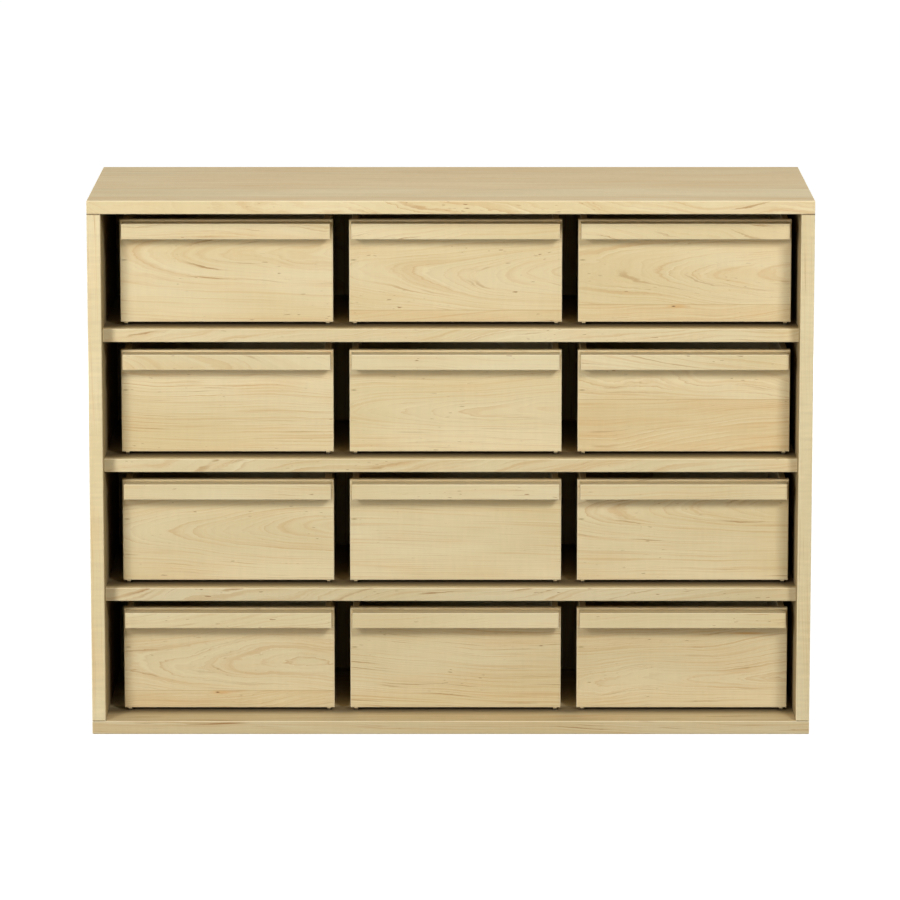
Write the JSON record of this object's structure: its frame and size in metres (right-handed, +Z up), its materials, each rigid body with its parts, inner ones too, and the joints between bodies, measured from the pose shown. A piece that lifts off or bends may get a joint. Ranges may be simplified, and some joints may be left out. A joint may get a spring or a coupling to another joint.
{
  "type": "tray storage cabinet",
  "caption": "Free-standing open-fronted maple cabinet whose shelves hold loose lift-out wooden trays with strip handles, for sorting craft supplies and small parts.",
  "frame": {"origin": "on the floor, under the middle of the case", "axes": "+Z up, the open front faces -Y, and +X is to the right of someone who faces the front"},
  "size_m": [1.016, 0.381, 0.762],
  "materials": {
    "case_maple": "pale maple board under a satin clear lacquer",
    "shelf_maple": "pale maple board under a satin clear lacquer",
    "front_maple": "pale maple, edge-glued, under a satin clear lacquer",
    "handle_maple": "pale maple strip under a satin clear lacquer",
    "tray_maple": "pale maple walls and a thin maple plywood bottom, satin",
    "runner_maple": "plain hard maple strip, waxed",
    "back_plywood": "thin maple-faced plywood, satin",
    "spline_plywood": "plain plywood strip, unfinished"
  },
  "bodies": {
    "case": {"top_panel": "case_maple", "bottom_panel": "case_maple", "left_side": "case_maple", "right_side": "case_maple", "back_panel": "back_plywood", "case_splines": "spline_plywood", "lower_shelf": "shelf_maple", "middle_shelf": "shelf_maple", "upper_shelf": "shelf_maple"},
    "tray_r1_left": {"tray_r1_left_front": "front_maple", "tray_r1_left_handle": "handle_maple", "tray_r1_left_box": "tray_maple", "tray_r1_left_runners": "runner_maple"},
    "tray_r1_middle": {"tray_r1_middle_front": "front_maple", "tray_r1_middle_handle": "handle_maple", "tray_r1_middle_box": "tray_maple", "tray_r1_middle_runners": "runner_maple"},
    "tray_r1_right": {"tray_r1_right_front": "front_maple", "tray_r1_right_handle": "handle_maple", "tray_r1_right_box": "tray_maple", "tray_r1_right_runners": "runner_maple"},
    "tray_r2_left": {"tray_r2_left_front": "front_maple", "tray_r2_left_handle": "handle_maple", "tray_r2_left_box": "tray_maple", "tray_r2_left_runners": "runner_maple"},
    "tray_r2_middle": {"tray_r2_middle_front": "front_maple", "tray_r2_middle_handle": "handle_maple", "tray_r2_middle_box": "tray_maple", "tray_r2_middle_runners": "runner_maple"},
    "tray_r2_right": {"tray_r2_right_front": "front_maple", "tray_r2_right_handle": "handle_maple", "tray_r2_right_box": "tray_maple", "tray_r2_right_runners": "runner_maple"},
    "tray_r3_left": {"tray_r3_left_front": "front_maple", "tray_r3_left_handle": "handle_maple", "tray_r3_left_box": "tray_maple", "tray_r3_left_runners": "runner_maple"},
    "tray_r3_middle": {"tray_r3_middle_front": "front_maple", "tray_r3_middle_handle": "handle_maple", "tray_r3_middle_box": "tray_maple", "tray_r3_middle_runners": "runner_maple"},
    "tray_r3_right": {"tray_r3_right_front": "front_maple", "tray_r3_right_handle": "handle_maple", "tray_r3_right_box": "tray_maple", "tray_r3_right_runners": "runner_maple"},
    "tray_r4_left": {"tray_r4_left_front": "front_maple", "tray_r4_left_handle": "handle_maple", "tray_r4_left_box": "tray_maple", "tray_r4_left_runners": "runner_maple"},
    "tray_r4_middle": {"tray_r4_middle_front": "front_maple", "tray_r4_middle_handle": "handle_maple", "tray_r4_middle_box": "tray_maple", "tray_r4_middle_runners": "runner_maple"},
    "tray_r4_right": {"tray_r4_right_front": "front_maple", "tray_r4_right_handle": "handle_maple", "tray_r4_right_box": "tray_maple", "tray_r4_right_runners": "runner_maple"}
  },
  "joints": [
    {"name": "tray_r1_left_slide", "type": "slide", "parent": "case", "child": "tray_r1_left", "axis": [0, -1, 0], "range_m": [-0.009, 0.35]},
    {"name": "tray_r1_middle_slide", "type": "slide", "parent": "case", "child": "tray_r1_middle", "axis": [0, -1, 0], "range_m": [-0.009, 0.35]},
    {"name": "tray_r1_right_slide", "type": "slide", "parent": "case", "child": "tray_r1_right", "axis": [0, -1, 0], "range_m": [-0.009, 0.35]},
    {"name": "tray_r2_left_slide", "type": "slide", "parent": "case", "child": "tray_r2_left", "axis": [0, -1, 0], "range_m": [-0.009, 0.35]},
    {"name": "tray_r2_middle_slide", "type": "slide", "parent": "case", "child": "tray_r2_middle", "axis": [0, -1, 0], "range_m": [-0.009, 0.35]},
    {"name": "tray_r2_right_slide", "type": "slide", "parent": "case", "child": "tray_r2_right", "axis": [0, -1, 0], "range_m": [-0.009, 0.35]},
    {"name": "tray_r3_left_slide", "type": "slide", "parent": "case", "child": "tray_r3_left", "axis": [0, -1, 0], "range_m": [-0.009, 0.35]},
    {"name": "tray_r3_middle_slide", "type": "slide", "parent": "case", "child": "tray_r3_middle", "axis": [0, -1, 0], "range_m": [-0.009, 0.35]},
    {"name": "tray_r3_right_slide", "type": "slide", "parent": "case", "child": "tray_r3_right", "axis": [0, -1, 0], "range_m": [-0.009, 0.35]},
    {"name": "tray_r4_left_slide", "type": "slide", "parent": "case", "child": "tray_r4_left", "axis": [0, -1, 0], "range_m": [-0.009, 0.35]},
    {"name": "tray_r4_middle_slide", "type": "slide", "parent": "case", "child": "tray_r4_middle", "axis": [0, -1, 0], "range_m": [-0.009, 0.35]},
    {"name": "tray_r4_right_slide", "type": "slide", "parent": "case", "child": "tray_r4_right", "axis": [0, -1, 0], "range_m": [-0.009, 0.35]}
  ]
}
